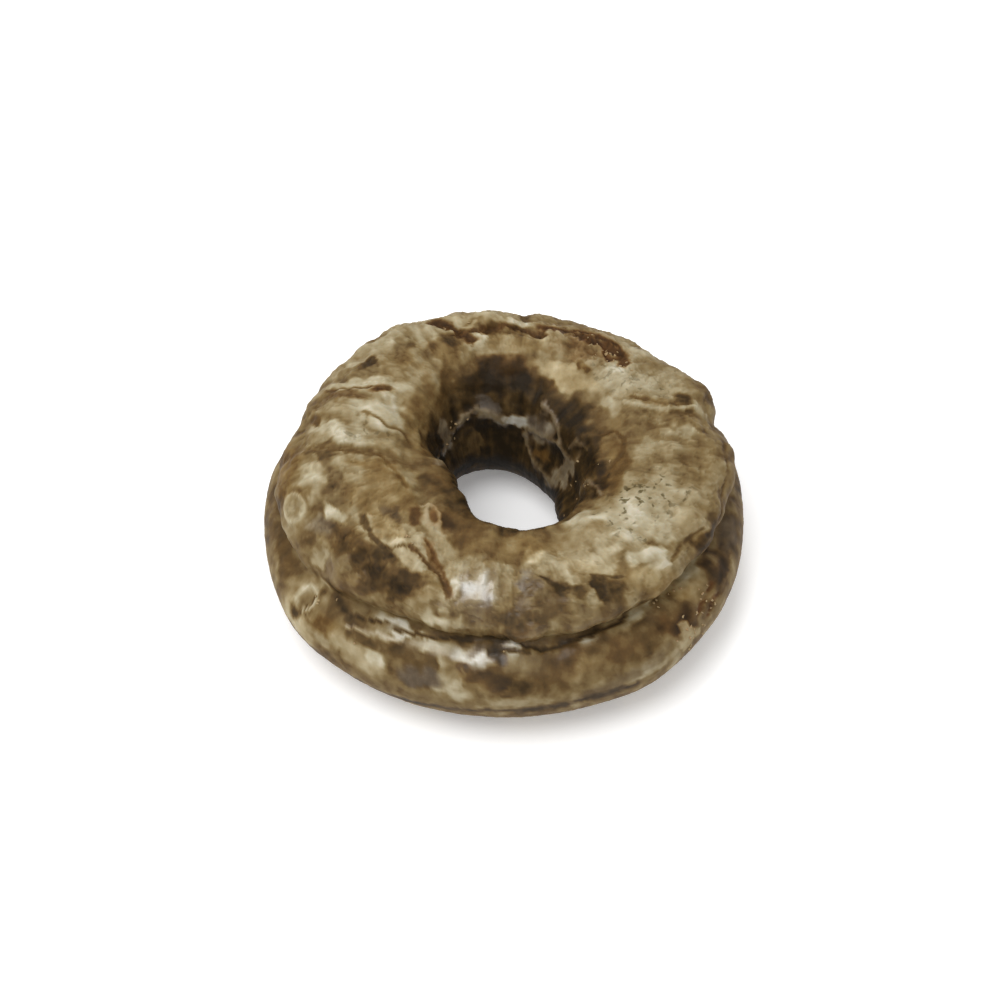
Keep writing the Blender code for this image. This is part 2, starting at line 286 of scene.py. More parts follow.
# Patches of the glaze. Scratch scripts turned ellipses in the photo into these places and sizes, and
# set most covers by comparing a render with the photo. Lengths are in mm:
# name: [(turn, sweep, half length down the section, half width round the ring, tilt), cover, other looks]
crownPatches = {
    "back left shoulder": [(135, 76, 3.8, 8.1, 19), 0.7],
    "back left tan shade": [(143, 99, 6.8, 2.5, 45), 0.54, dict(amber=0.2)],
    "left shoulder shade": [(149, 75, 4, 2.2, -15), 0.32, dict(soft=0.5)],
    "left pale band": [(153, 85, 6.4, 1.3, -25), 0.82, dict(soft=0.3)],
    "left white patch": [(163, 111, 3.5, 3, 24), 1.1, dict(soft=0.7)],
    "left pale fleck field": [(176, 101, 5.5, 2.2, -11), 0.62, dict(specks=0.6)],
    "left tan band": [(161, 76, 4, 1.6, -9), 0.38, dict(amber=0.1, soft=0.6, bare=0.2)],
    "left white field": [(166, 107, 5.5, 2.6, 2), 0.9, dict(soft=0.6)],
    "left edge pale": [(173, 67, 4.1, 1.7, 22), 0.88],
    "left dark smear": [(145, 76, 1.4, 1.9, 0), 0.2, dict(soft=0.35, amber=0.2)],
    "left red pit": [(153, 100, 1.4, 0.7, -33), 0, dict(soft=0.6, bare=0.9)],
    "back left brown smear": [(130, 84, 1.6, 2.8, -6), 0.36, dict(soft=0.5)],
    "back left olive": [(124, 101, 3.1, 5.6, 10), 0.36, dict(amber=0.45)],
    "back left rim": [(128, 126, 3, 4.8, -31), 0.28, dict(amber=0.45)],
    "left rim": [(159, 134, 2.7, 5.8, -13), 0.52, dict(amber=0.5)],
    "left edge brown dot": [(170, 62, 0.9, 1.8, -43), 0.24, dict(amber=0.5, soft=0.4)],
    "left brown smear": [(-176, 79, 4.8, 1.6, 12), 0.28, dict(soft=0.4)],
    "left olive band": [(-177, 115, 4.5, 1.3, 0), 0.66, dict(amber=0.3, soft=0.4)],
    "left amber slope": [(-165, 114, 4.7, 2, 24), 0.4, dict(amber=0.65)],
    "left lower white": [(-162, 89, 3.7, 2.3, 21), 0.5, dict(specks=0.3)],
    "left olive field": [(-177, 96, 3.1, 2, -16), 0.98, dict(specks=0.4)],
    "left pale drip": [(-149, 94, 1.2, 3.6, 29), 1.1],
    "left slope brown": [(-150, 104, 3.7, 6.5, -39), 0.5, dict(amber=0.5)],
    "left edge shade": [(-173, 71, 1.5, 3.4, -16), 0.22],
    "left edge white": [(-167, 60, 2, 3.2, 2), 0.84],
    "left brown spot": [(-164, 77, 1.4, 1.8, -3), 0.32, dict(soft=0.35)],
    "back flap top": [(99, 79, 1.5, 6.8, 5), 0.76, dict(amber=0.2)],
    "back band brown": [(96, 92, 2, 10.1, -7), 0.2, dict(amber=0.3)],
    "back pale seam": [(125, 89, 5.2, 1.4, 27), 0.76],
    "back left pale fold": [(127, 114, 3.7, 1.3, 26), 0.6],
    "back pale streak": [(102, 102, 3, 1.3, 9), 0.76, dict(soft=0.5)],
    "back middle tan": [(84, 104, 2.1, 5.7, -3), 0.56, dict(amber=0.35)],
    "back white chip two": [(86, 80, 0.8, 2.2, -15), 0.96, dict(soft=0.3)],
    "back right rosy": [(56, 83, 5.9, 5.1, 28), 0.48, dict(bare=0.4)],
    "back rim yellow": [(54, 123, 1.7, 4.9, -14), 0.88, dict(amber=0.5)],
    "back right rim pale": [(61, 120, 1.7, 5.6, -2), 0.8, dict(amber=0.4)],
    "back right yellow spot": [(53, 109, 1.2, 1.3, 39), 0.2, dict(amber=1, soft=0.5)],
    "back right white": [(40, 96, 3.2, 5.6, -16), 0.8, dict(specks=0.5)],
    "back right white two": [(28, 79, 2.8, 6.3, -21), 0.66, dict(specks=0.6)],
    "back right edge": [(43, 46, 7.1, 8.8, -23), 0.6],
    "right rim tan": [(21, 123, 2.3, 3.6, -16), 0.4, dict(amber=0.25)],
    "right red band": [(20, 78, 4.7, 1, 17), 0.42, dict(amber=0.3, soft=0.4)],
    "right brown shade": [(8, 99, 4.7, 2, -2), 0.4, dict(amber=0.2)],
    "right olive shade": [(15, 61, 2, 4.1, -23), 0, dict(amber=0.2)],
    "right inner tan": [(-23, 101, 1.8, 5.7, 0), 0.4, dict(specks=0.5)],
    "right olive band": [(13, 66, 5.3, 2.1, 16), 0.5, dict(amber=0.2)],
    "right pale fleck": [(6, 69, 2.2, 1.4, -12), 0.76, dict(soft=0.4)],
    "right pale fleck two": [(2, 100, 2.7, 1.9, -31), 0.64],
    "right pale net": [(28, 116, 1.6, 2.2, -2), 0.74],
    "right dark fleck": [(-31, 101, 1.6, 2.6, -19), 0.62, dict(specks=1)],
    "right amber notch": [(-26, 37, 1.9, 3.7, 32), 0.02, dict(amber=0.4)],
    "right edge tan": [(-7, 71, 1.9, 5.7, -3), 0.52],
    "right fold inside": [(3, 131, 1.4, 2.6, -5), 0.46, dict(amber=0.4)],
    "right pink tan": [(-5, 58, 3.2, 5.7, 4), 0.5, dict(amber=0.2)],
    "right big white": [(-26, 94, 4.6, 7.5, 32), 0.7, dict(specks=1)],
    "right rim pale": [(-48, 128, 2.4, 3.6, 0), 0.84],
    "right low tan": [(-25, 53, 2.9, 3.5, 1), 0.78, dict(amber=0.25)],
    "right rim side brown": [(-10, 124, 1.8, 4.7, -1), 0.38, dict(amber=0.6)],
    "front right white": [(-40, 98, 3.3, 6.1, 36), 0.9, dict(specks=0.8)],
    # painted glints: two small spots of lamp reflection painted pale into the colour
    "front right glint": [(-41, 60, 0.5, 2.1, 37), 1.1, dict(soft=0.3)],
    "front right glint two": [(-49, 66, 0.9, 1.6, 11), 1.1, dict(soft=0.4)],
    "front right white edge": [(-45, 64, 1.2, 4.3, 25), 0.98, dict(soft=0.4)],
    "front right pale slope": [(-33, 65, 1.8, 2.9, -32), 0.84],
    "front right mottle": [(-47, 45, 1.6, 4.1, 0), 0.6, dict(specks=0.6)],
    "front right olive": [(-46, 50, 1.3, 3.7, 6), 1.08, dict(amber=0.15)],
    "front right pink tan": [(-55, 79, 2.1, 2.7, 28), 0.92, dict(amber=0.2)],
    "front dark block": [(-60, 58, 2.3, 2.4, -27), 0.04, dict(soft=0.15)],
    "front brown below patch": [(-70, 66, 1.3, 2.8, 32), 0.32, dict(soft=0.3)],
    # painted sheen: a grey-purple reflection painted into the colour
    "front purple shine": [(-83, 83, 2.4, 1.5, -1), 0.46, dict(grey=0.7, gloss=0.6)],
    "front brown bulge": [(-83, 52, 2.5, 3.6, 4), 0.16, dict(gloss=0.15)],
    "front middle brown": [(-77, 62, 5.6, 2.5, -29), 0.38, dict(gloss=0.15)],
    "front right brown": [(-59, 54, 2, 5.8, -41), 0.14],
    "front pale step": [(-78, 109, 2.5, 1.4, -8), 1.1, dict(amber=0.4)],
    "front right shelf": [(-67, 42, 1.7, 3.6, 6), 0.5, dict(gloss=0.2)],
    "front right crease pale": [(-52, 18, 0.6, 4.1, -6), 0.88],
    "front right edge flecks": [(-43, 30, 12.9, 2.3, -42), 0.62, dict(amber=0.5)],
    "front brown stripe": [(-84, 67, 4.3, 1.3, 25), 0.36, dict(gloss=0.15)],
    "front tongue": [(-84, 35, 1.8, 2.5, -3), 0.44, dict(bare=0.2, gloss=0.2, lift=0.8)],
    "front rim tan": [(-83, 122, 2.2, 5, 8), 0.52, dict(amber=0.5)],
    "front rim pale": [(-55, 110, 1.8, 4.3, 28), 0.58, dict(amber=0.2)],
    "front shelf": [(-101, 49, 2, 6, -9), 0.42, dict(gloss=0.2)],
    "front shelf dark": [(-98, 60, 1.1, 3.3, -5), 0.42, dict(gloss=0.2)],
    "front gloss area": [(-99, 78, 3.4, 3.7, 19), 0.56, dict(gloss=1, soft=1.4)],
    # painted highlight: the next four patches paint the white of the lamp's reflection into the colour, over
    # the glossy coat
    "front painted highlight left": [(-102, 75, 1, 1.5, -29), 0.86, dict(gloss=1, grey=1, soft=1.5)],
    "front painted highlight streak": [(-97, 79, 2.4, 0.5, 6), 0.74, dict(gloss=1, grey=0.7, soft=1.4)],
    "front painted highlight low": [(-95, 70, 1, 0.8, 10), 0.56, dict(gloss=1, grey=0.7, soft=1.5)],
    "front painted highlight pale": [(-107, 74, 1.8, 1.3, -6), 1.1, dict(gloss=0.4)],
    "front left pale fold": [(-114, 72, 0.9, 3.5, 28), 1.06, dict(amber=0.1, lift=0.25)],
    "front inner brown": [(-113, 135, 3.5, 4.5, 14), 0.34, dict(amber=0.45)],
    "front rim brown": [(-96, 113, 1.8, 4.7, 10), 0.38, dict(amber=0.4)],
    "front inner pale": [(-122, 116, 1.2, 4.3, 27), 0.7, dict(amber=0.2)],
    "front inner red": [(-135, 116, 2.1, 1.5, -30), 0.12, dict(bare=0.5)],
    "pink loop pit": [(-131, 127, 0.7, 1.7, 42), 0.42, dict(bare=0.7)],
    "front inner dark": [(-122, 125, 1.9, 1.5, -38), 0.22, dict(bare=0.3)],
    "inner left white": [(-160, 126, 3.4, 1.4, 44), 0.62, dict(amber=0.2)],
    "inner left brown": [(-154, 147, 2.2, 4.1, 19), 0.34, dict(amber=0.4)],
    "front left white two": [(-154, 65, 1.3, 2.5, -16), 1.02, dict(soft=0.4)],
    "front left grey": [(-152, 55, 1.2, 3.5, -38), 0.56, dict(grey=0.4)],
    "front left brown": [(-146, 66, 1.5, 2.7, -19), 0.32, dict(amber=0.3)],
    "stepped yellow": [(-139, 92, 2.5, 3.8, 2), 0.64, dict(amber=0.5, soft=0.5)],
    "stepped grey oval": [(-142, 103, 1.2, 1.9, 21), 0.26, dict(grey=0.2)],
    "left low brown": [(-140, 63, 1.7, 5.5, -13), 0.16, dict(amber=0.4)],
    "fold foot brown": [(-118, 96, 0.9, 2.9, 31), 0.44, dict(bare=0.5)],
    "stepped pale edge": [(-132, 86, 2.1, 0.8, 43), 0.96, dict(amber=0.3, soft=0.5)],
    "stepped dark foot": [(-132, 73, 1.1, 2.3, -29), 0.2, dict(soft=0.6)],
    "front left dark": [(-128, 56, 2.8, 6.1, -14), 0.14, dict(amber=0.3)],
    "front left dark two": [(-115, 69, 1.9, 3.3, 14), 0.56, dict(soft=0.5, amber=0.3)],
    "front left low dark": [(-120, 68, 1.3, 2.7, 19), 0.18, dict(amber=0.3)],
    "front left wedge": [(-125, 79, 1.4, 2.5, 14), 0.94, dict(amber=0.2, soft=0.6, lift=0.3)],
    "ragged pale": [(-128, 102, 1, 1.4, 8), 0.86, dict(amber=0.2, soft=0.5)],
    "left low grey": [(-142, 38, 2.1, 3.4, -37), 0.52, dict(gloss=0.15)],
    "left low pale spot": [(-147, 33, 1.9, 1.5, 31), 0.76, dict(soft=0.3)],
    "left low red": [(-135, 38, 1.7, 4.7, -18), 0.46, dict(amber=0.3, gloss=0.15)],
    "low front pale": [(-109, 43, 1.4, 3.3, -5), 0.98, dict(amber=0.1)],
}

skirtPatches = {
    "left olive": [(-175, 38, 3.2, 7.2, -15), 0.44, dict(amber=0.6)],
    "left dark": [(-160, 2, 1.1, 4.5, 2), 0.3, dict(amber=0.3)],
    "left base": [(-145, -12, 5, 5.3, 35), 0.82, dict(amber=0.3)],
    "left pale slope": [(-123, 7, 1.4, 5.2, 17), 0.54],
    "front left lime": [(-104, 3, 1.5, 4.2, 12), 0.74],
    "left low pale": [(-122, -1, 1.4, 2.4, 18), 1.1, dict(soft=0.5)],
    "front low pale": [(-103, -7, 1.5, 4.6, 11), 0.82],
    "left edge pale": [(-137, -2, 1.5, 3.6, 43), 0.74],
    # painted shadow beside the shut bubble, and painted shade in the crease under the crown's edge
    "bubble shadow": [(-144, -1, 2.5, 1.3, 40), 0.06],
    "crease painted shade": [(-135, 11, 0.4, 3.4, 6), 0.12, dict(soft=0.3)],
    "left amber": [(-136, 0, 1.2, 2.6, 6), 0.28, dict(amber=0.8)],
    "front left pale": [(-127, -5, 1.6, 6.3, 15), 0.8, dict(amber=0.2)],
    "brown notch": [(-126, 4, 0.6, 2.4, -2), 0.22, dict(soft=0.3)],
    "grey band": [(-118, 16, 0.7, 4.6, 4), 1.1, dict(grey=0.5)],
    "middle pale": [(-111, 10, 1, 3.3, 17), 1.1],
    "big brown blob": [(-113, 7, 1.2, 4.4, 10), 0.3, dict(soft=0.4)],
    "small brown blob": [(-108, 4, 0.8, 1.2, -7), 0.36, dict(soft=0.2)],
    "purple grey": [(-109, -5, 1.1, 3.7, -2), 0.32, dict(grey=0.6)],
    "pale ridge": [(-104, 15, 0.5, 5, -5), 0.88, dict(gloss=0.4)],
    "front amber": [(-95, 2, 1.2, 4.3, 3), 0.18, dict(amber=0.6, gloss=0.2)],
    "front pale streak": [(-101, -5, 1.3, 1.5, -39), 0.9, dict(soft=0.3)],
    # painted highlights: the lamp's reflection on the skirt's front painted pale grey-white into the colour
    "front shine": [(-97, 15, 1.1, 1.9, -4), 1.1, dict(gloss=1, grey=0.8, soft=1.2)],
    "front shine left": [(-101, 13, 0.7, 1.5, -3), 1, dict(gloss=0.6, grey=0.5)],
    "front dark": [(-89, 19, 0.8, 2.5, 5), 0.76, dict(gloss=0.3)],
    "front mottle": [(-84, 11, 1.3, 3.2, 11), 0.7, dict(gloss=0.3)],
    "front tan": [(-82, 9, 1.6, 4, 6), 0.4, dict(gloss=0.15)],
    "front cavity": [(-92, 18, 1.2, 1.5, 7), 0.12, dict(gloss=0.3)],
    # painted glint in the cavity
    "cavity glint": [(-88, 19, 0.5, 1.4, 6), 1.04, dict(grey=0.5, gloss=0.8, soft=0.5)],
    "crease brown": [(-94, 26, 1.2, 3.8, -24), 0.22],
    "front hollow": [(-74, 15, 0.8, 1.5, 16), 0.02],
    "front low shade": [(-88, -9, 1.5, 3.4, -23), 0.26],
    "right of front": [(-74, 4, 1.7, 5.6, -4), 0.5, dict(amber=0.4, gloss=0.15)],
    "right amber": [(-74, 11, 1.3, 2.1, 0), 0.24, dict(amber=0.5, gloss=0.15)],
    "low right pale": [(-56, -11, 1.4, 4.2, -6), 0.82],
    "right red": [(-61, 5, 1.1, 4.1, -6), 0.42, dict(amber=0.6, gloss=0.15)],
    # painted highlight on the crease at the right
    "right highlight": [(-68, 16, 0.4, 1.5, -1), 1.1, dict(grey=0.5, gloss=0.8)],
    "right dark": [(-50, 12, 1.2, 5.2, -3), 0.36],
    "right brown": [(-46, 1, 1.8, 4, 19), 0.2, dict(bare=0.4)],
    "scar dark": [(-43, -4, 1.4, 2.7, 14), 0, dict(bare=0.4)],
    "right crust pale": [(-31, 15, 0.5, 3, 5), 1.1],
    "far right dark": [(-28, 10, 2.1, 5.1, -12), 0.54],
    "far right brown": [(-25, -1, 1.8, 3.6, -6), 0, dict(bare=0.3)],
    "far right purple": [(-13, 2, 1.4, 4.7, -7), 0.34, dict(grey=0.4)],
    "right pale drip": [(-44, -11, 2, 3.3, 18), 0.76, dict(amber=0.3, soft=0.3)],
    "right back brown": [(-1, 22, 6, 3.9, -43), 0.46, dict(amber=0.3)],
    "base left": [(-109, -17, 1.4, 7.6, 1), 0.44],
    "base front": [(-87, -13, 1.1, 10, 2), 0.7],
    "base right": [(-64, -12, 1, 10.1, -8), 0.44, dict(grey=0.2)],
}

holePatches = {
    "back top": [(93, 128, 3, 5.3, 15), 0.02, dict(amber=0.3, bare=0.3)],
    "top shade": [(88, 137, 2.8, 10.7, 13), 0, dict(amber=0.3)],
    "right rim shade": [(-14, 137, 1.7, 3.8, -13), 0, dict(amber=0.5)],
    "back red": [(65, 133, 1, 2.3, 6), 0.14, dict(amber=0.5)],
    "back brown": [(78, 147, 2.2, 3.4, -15), 0.22],
    "grey glaze": [(102, 154, 1.4, 2.4, 33), 0.38, dict(grey=0.7, soft=0.4, gloss=0.7)],
    # painted highlight on the glaze ridge in the hole
    "shine": [(82, 165, 1.1, 4.2, -16), 1.1, dict(grey=0.8, soft=0.4, gloss=1)],
    "left glaze": [(139, 166, 3.9, 1.5, -9), 0.5, dict(grey=0.4, gloss=0.4, soft=0.5)],
    "right glaze": [(56, 165, 4, 1.6, 37), 0.5, dict(grey=0.25, gloss=0.3, soft=0.6)],
    "amber cell": [(51, 180, 1.1, 1.8, -36), 0.34, dict(amber=0.8, soft=0.5)],
    "left cavity": [(116, 182, 2.9, 2.4, 10), 0.34, dict(soft=0.3)],
    "web plate": [(61, 159, 1.8, 3, -21), 0.46, dict(grey=0.6)],
    "right dark": [(27, 150, 4.5, 2.6, -29), 0.04, dict(amber=0.2)],
    "right slope": [(9, 142, 1.7, 3.5, 40), 0.06, dict(amber=0.3)],
    "low right glaze": [(20, 177, 5.4, 2, 18), 0.6, dict(grey=0.4, soft=0.5)],
}

# Cracks, folds and creases: lines read off the photo by eye, which a scratch script turned into
# (turn, sweep) places. Widths and depths are in mm. A rim stands up along both sides, and a step leaves
# one side of the line higher
strandLook = dict(depth=-0.35, grey=0.25, gloss=0.35)
skinStrokes = {
    "back crack one": [[(114, 71), (111, 77), (109, 82), (107, 93), (104, 99)],
        dict(width=2.0, depth=0.7, cover=0.14, bare=0.7, rim=0.12, rimCover=0.1)],
    "back crack two": [[(102, 90), (97, 90), (91, 86), (86, 85), (81, 86), (75, 90)],
        dict(width=1.1, depth=0.6, cover=0.18, bare=0.6, rim=0.1, rimCover=0.1)],
    "back crack three": [[(75, 79), (71, 76), (67, 74), (62, 76), (58, 75), (53, 74), (49, 74), (43, 80)],
        dict(width=2.2, depth=0.5, cover=0.2, bare=0.8, rim=0.1, rimCover=0.1)],
    "back crack three upper": [[(67, 67), (62, 69), (57, 68), (52, 66), (48, 70)],
        dict(width=1.0, depth=0.5, cover=0.16, bare=0.8)],
    "back crack three tooth": [[(57, 75), (53, 79), (49, 87)],
        dict(width=1.3, depth=0.4, cover=0.16, bare=1)],
    "left fold line": [[(158, 58), (157, 76), (154, 92), (150, 104)],
        dict(width=0.8, depth=0.35, cover=0.24, bare=0.3, step=-0.25)],
    "left lower fold line": [[(-179, 57), (-176, 78), (-175, 94), (-173, 112), (-170, 129)],
        dict(width=1.8, depth=0.25, cover=0.4, amber=0.3, step=-0.2)],
    "left pleat": [[(167, 96), (168, 104), (170, 114), (171, 124), (173, 131)],
        dict(width=0.8, depth=0.25, cover=0.38, amber=0.3, step=-0.2)],
    "furrow": [[(-124, 103), (-119, 100), (-115, 93), (-111, 82), (-107, 69)],
        dict(width=0.8, depth=0.3, cover=0.34, bare=0.6)],
    "stepped edge": [[(-148, 84), (-143, 80), (-139, 77), (-134, 77), (-131, 82), (-128, 89)],
        dict(width=1.0, depth=0.15, cover=0.14, step=0.22, reach=2.0, share=0.75)],
    "wedge edge": [[(-127, 91), (-121, 89), (-115, 85), (-110, 75), (-107, 64)],
        dict(width=0.8, depth=0.3, cover=0.16, bare=0.4, share=0.8)],
    "pinkish fold": [[(-139, 125), (-138, 129), (-134, 125), (-130, 120), (-125, 116)],
        dict(width=0.7, depth=-0.25, cover=0.78, bare=0.2)],
    "pink loop": [[(-138, 129), (-134, 131), (-129, 130), (-126, 125), (-125, 117)],
        dict(width=0.7, depth=-0.25, cover=0.7, bare=0.3)],
    "low branch": [[(-125, 115), (-118, 112), (-115, 106), (-111, 94), (-109, 82)],
        dict(width=1.1, depth=-0.3, cover=0.72, amber=0.2)],
    "slope line": [[(-173, 110), (-164, 117), (-152, 123)],
        dict(width=0.9, depth=0.2, cover=0.38, amber=0.7)],
    "front patch edge": [[(-78, 86), (-75, 78), (-72, 70), (-68, 67)],
        dict(width=0.7, depth=0.3, cover=0.2, step=-0.3)],
    "front block edge": [[(-62, 73), (-58, 68), (-54, 62)],
        dict(width=0.6, depth=0.3, cover=0.2, step=-0.3)],
    "right fold arc": [[(14, 133), (12, 123), (7, 118), (-1, 121), (-8, 129), (-15, 137)],
        dict(width=0.7, depth=0.35, cover=0.28, amber=0.6)],
    "right pale line": [[(24, 108), (19, 93), (16, 79), (17, 58), (16, 44)],
        dict(width=0.9, depth=-0.25, cover=0.8)],
    "right dark line": [[(26, 100), (22, 88), (19, 76), (19, 58)],
        dict(width=0.7, depth=0.25, cover=0.34, amber=0.4)],
    "right brown fold": [[(-39, 46), (-34, 50), (-30, 48), (-25, 44)],
        dict(width=0.8, depth=0.3, cover=0.3, amber=0.3)],
    "right edge seam": [[(7, 39), (0, 41), (-5, 38), (-13, 35), (-18, 31)],
        dict(width=0.8, depth=0.25, cover=0.3, amber=0.3)],
    "scar one": [[(-30, 1), (-34, -1), (-38, -4)], dict(width=0.8, depth=0.4, cover=0.24, bare=1)],
    "scar two": [[(-30, -6), (-33, -7), (-36, -12)], dict(width=0.6, depth=0.3, cover=0.24, bare=1)],
    "skirt light rim": [[(-131, 5), (-127, 7), (-122, 9), (-117, 13)],
        dict(width=0.6, depth=-0.2, cover=0.8, gloss=0.5)],
    # painted shade along the crease under the crown's edge
    "skirt crease painted shade": [[(-94, 17), (-91, 19), (-87, 17), (-84, 15)],
        dict(width=0.9, depth=0.4, cover=0.08)],
    "front crease painted shade left": [[(-134, 11), (-129, 13), (-124, 16), (-118, 17), (-110, 19), (-101, 24),
        (-95, 26), (-90, 32)],
        dict(width=0.7, depth=0.2, cover=0.06, share=0.8)],
    "front crease painted shade right": [[(-90, 32), (-87, 22), (-85, 18), (-80, 16), (-74, 17), (-67, 18),
        (-60, 19), (-53, 26)],
        dict(width=0.7, depth=0.3, cover=0.04, share=0.8)],
    # painted shade along the foot of the skirt, where it meets the table
    "base rim painted shade left": [[(-146, -18), (-139, -23), (-132, -28), (-122, -29), (-112, -26)],
        dict(width=1.2, depth=0.1, cover=0.12, grey=0.3)],
    "base rim painted shade right": [[(-112, -26), (-102, -22), (-91, -20), (-80, -20), (-69, -19), (-59, -18)],
        dict(width=1.2, depth=0.1, cover=0.16, grey=0.3)],
    "hole strand left": [[(126, 162), (134, 171), (144, 177), (-171, 150)],
        dict(strandLook, width=1.5, cover=0.5)],
    "hole arch": [[(125, 165), (119, 157), (111, 155), (101, 161), (92, 167)],
        dict(strandLook, width=1.6, cover=0.52)],
    # painted shadow along the hole's lower rim, where the underside meets the table
    "hole lower rim painted shadow": [[(140, 202), (131, 202), (112, 203), (98, 202), (81, 200), (62, 198),
        (37, 197), (12, 192)],
        dict(width=1.8, depth=0, cover=0.0, grey=0.5)],
    "hole strand down": [[(72, 167), (71, 182), (65, 187), (49, 188), (29, 190)],
        dict(strandLook, width=1.1, cover=0.5)],
    "hole strand right": [[(60, 145), (51, 149), (43, 154), (37, 160)],
        dict(strandLook, width=1.2, cover=0.5)],
    "hole strand cross": [[(68, 167), (54, 166), (37, 163), (22, 164), (22, 174), (24, 184)],
        dict(strandLook, width=1.1, cover=0.52)],
    "hole strand low right": [[(-15, 164), (-13, 151), (-23, 138), (-30, 130)],
        dict(width=0.8, depth=-0.4, cover=0.46, grey=0.2, gloss=0.3)],
    "hole strand mid right": [[(24, 158), (21, 149), (12, 146)],
        dict(width=0.8, depth=-0.3, cover=0.44, grey=0.2, gloss=0.3)],
}

# Bubbles in the glaze: radius and rim width in mm, cover inside and on the rim, and whether it is burst
skinBubbles = {
    "shut bubble": dict(turn=-163, sweep=40, radius=2.4, rim=0.4, inside=0.7, ring=0.9, burst=0),
    "burst bubble": dict(turn=-145, sweep=3, radius=2.1, rim=0.45, inside=0.6, ring=1.0, burst=1),
}


lookFields = ("amber", "bare", "grey", "gloss", "specks")

patchSettings = {
    "share": 0.85,          # how much of what lies under a patch it hides
    "soft": 0.9,            # width of its soft edge, in half widths
    "leastSoft": 0.65,      # mm: a sharper edge than the mesh can carry would come out as a comb
    "bend": 0.25,           # how far its edge wanders, in half widths
    "mostBend": 0.5,        # mm
    "torn": 0.16,           # how uneven its edge is
    "lift": 0.12,           # mm in height for each step of 1 in cover
}

strokeSettings = {
    "share": 0.9,           # how much of what lies under a stroke it hides
    "leastHalf": 0.35,      # mm: half the width of the finest line that the mesh can carry
    "edge": (0.4, 1.5),     # where its soft edge starts and ends, in half widths
    "rim": 1.7,             # where its rim stands, in half widths
    "reach": 1.6,           # mm over which a step fades out
}

# Heights of the relief in mm, for each noise field and for the layers
reliefHeights = {"lumps": 0.28, "mottle": 0.1, "streaks": 0.09, "layers": 0.25, "grain": 0.02}
layerMiddle = 0.42          # mean height of a layer, as a share of its edge


def startLook(grid):
    sweep = np.where(grid["sweep"] < -90, grid["sweep"] + 360, grid["sweep"])
    look = {"cover": np.interp(sweep, list(baseCover), list(baseCover.values()))}
    look["cover"] += 0.04 * grid["mottle"][..., 0] + 0.05 * grid["streaks"][..., 0]
    for name in lookFields:
        look[name] = np.zeros_like(sweep)
    look["amber"] += 0.1
    look["specks"] += 0.15
    look["lift"] = np.zeros_like(sweep)
    return look


def localPlace(grid, turn, sweep):
    # distances in mm round the ring and round the section from one place on the skin
    across = np.radians(wrapDegrees(grid["turn"] - turn)) * grid["fromAxis"]
    along = np.radians(wrapDegrees(grid["sweep"] - sweep)) * grid["reach"]
    return across, along


def paintPatches(grid, look, patches):
    for (turn, sweep, halfAlong, halfAcross, tilt), cover, *others in patches.values():
        change = others[0] if others else {}
        across, along = localPlace(grid, turn, sweep)
        least = min(halfAlong, halfAcross)
        bend = min(patchSettings["mostBend"], patchSettings["bend"] * least)
        across = across + grid["ragged"][..., 0] * bend
        along = along + grid["ragged"][..., 1] * bend
        c, s = math.cos(math.radians(tilt)), math.sin(math.radians(tilt))
        u = (along * c + across * s) / halfAlong
        v = (across * c - along * s) / halfAcross
        soft = max(change.get("soft", patchSettings["soft"]), patchSettings["leastSoft"] / least)
        torn = np.hypot(u, v) + patchSettings["torn"] * grid["mottle"][..., 2]
        share = patchSettings["share"] * (1 - smoothStep(1 - soft / 2, 1 + soft / 2, torn))
        texture = 0.05 * grid["mottle"][..., 1] + 0.03 * grid["streaks"][..., 1]
        look["cover"] += share * (cover + texture - look["cover"])
        for name in lookFields:
            look[name] += share * (change.get(name, 0) - look[name])
        look["lift"] += share * change.get("lift", patchSettings["lift"] * (cover - 0.5))


def skinPoint(grid, turn, sweep):
    # the ring's point nearest to one turn and sweep
    miss = np.abs(wrapDegrees(grid["turn"] - turn)) + np.abs(wrapDegrees(grid["sweep"] - sweep))
    return np.unravel_index(np.argmin(miss), miss.shape)


def strokeDistance(grid, path):
    # distance in mm from a line of places on the skin, and how far to one side of it a point lies
    aways = []
    sides = []
    spots = [grid["place"][skinPoint(grid, *place)] / mm for place in path]
    points = grid["place"] / mm + 0.15 * grid["ragged"]
    for start, end in zip(spots, spots[1:]):
        step = (end - start) / np.linalg.norm(end - start)
        share = np.clip((points - start) @ step, 0, np.linalg.norm(end - start))
        offset = points - start - share[..., None] * step
        aways.append(np.linalg.norm(offset, axis=2))
        sides.append(np.sum(np.cross(grid["normal"], step) * offset, axis=2))
    nearest = np.min(aways, axis=0)
    weights = np.exp(-((np.array(aways) - nearest) / 0.4) ** 2)
    return nearest, np.sum(weights * sides, axis=0) / np.sum(weights, axis=0)


def paintStrokes(grid, look, strokes):
    for path, change in strokes.values():
        away, side = strokeDistance(grid, path)
        uneven = 0.3 * grid["ragged"][..., 0] + 0.2 * grid["frayed"][..., 1]
        half = np.maximum(change["width"] / 2 * (1 + uneven), strokeSettings["leastHalf"])
        share = 1 - smoothStep(*strokeSettings["edge"], away / half)
        share = share * change.get("share", strokeSettings["share"])
        look["cover"] += share * (change["cover"] - look["cover"])
        for name in lookFields:
            look[name] += share * (change.get(name, 0) - look[name])
        look["lift"] -= change["depth"] * np.exp(-(away / (0.75 * half + 0.15)) ** 2)
        # the rim beside a crack stands up and is paler
        rim = np.exp(-((away - strokeSettings["rim"] * half) / (0.5 * half + 0.15)) ** 2)
        look["lift"] += change.get("rim", 0) * rim
        look["cover"] += change.get("rimCover", 0) * rim
        # one side of a fold lies higher than the other
        if "step" in change:
            fade = np.exp(-(away / change.get("reach", strokeSettings["reach"])) ** 2)
            look["lift"] += change["step"] * fade * np.tanh(side / 0.6)


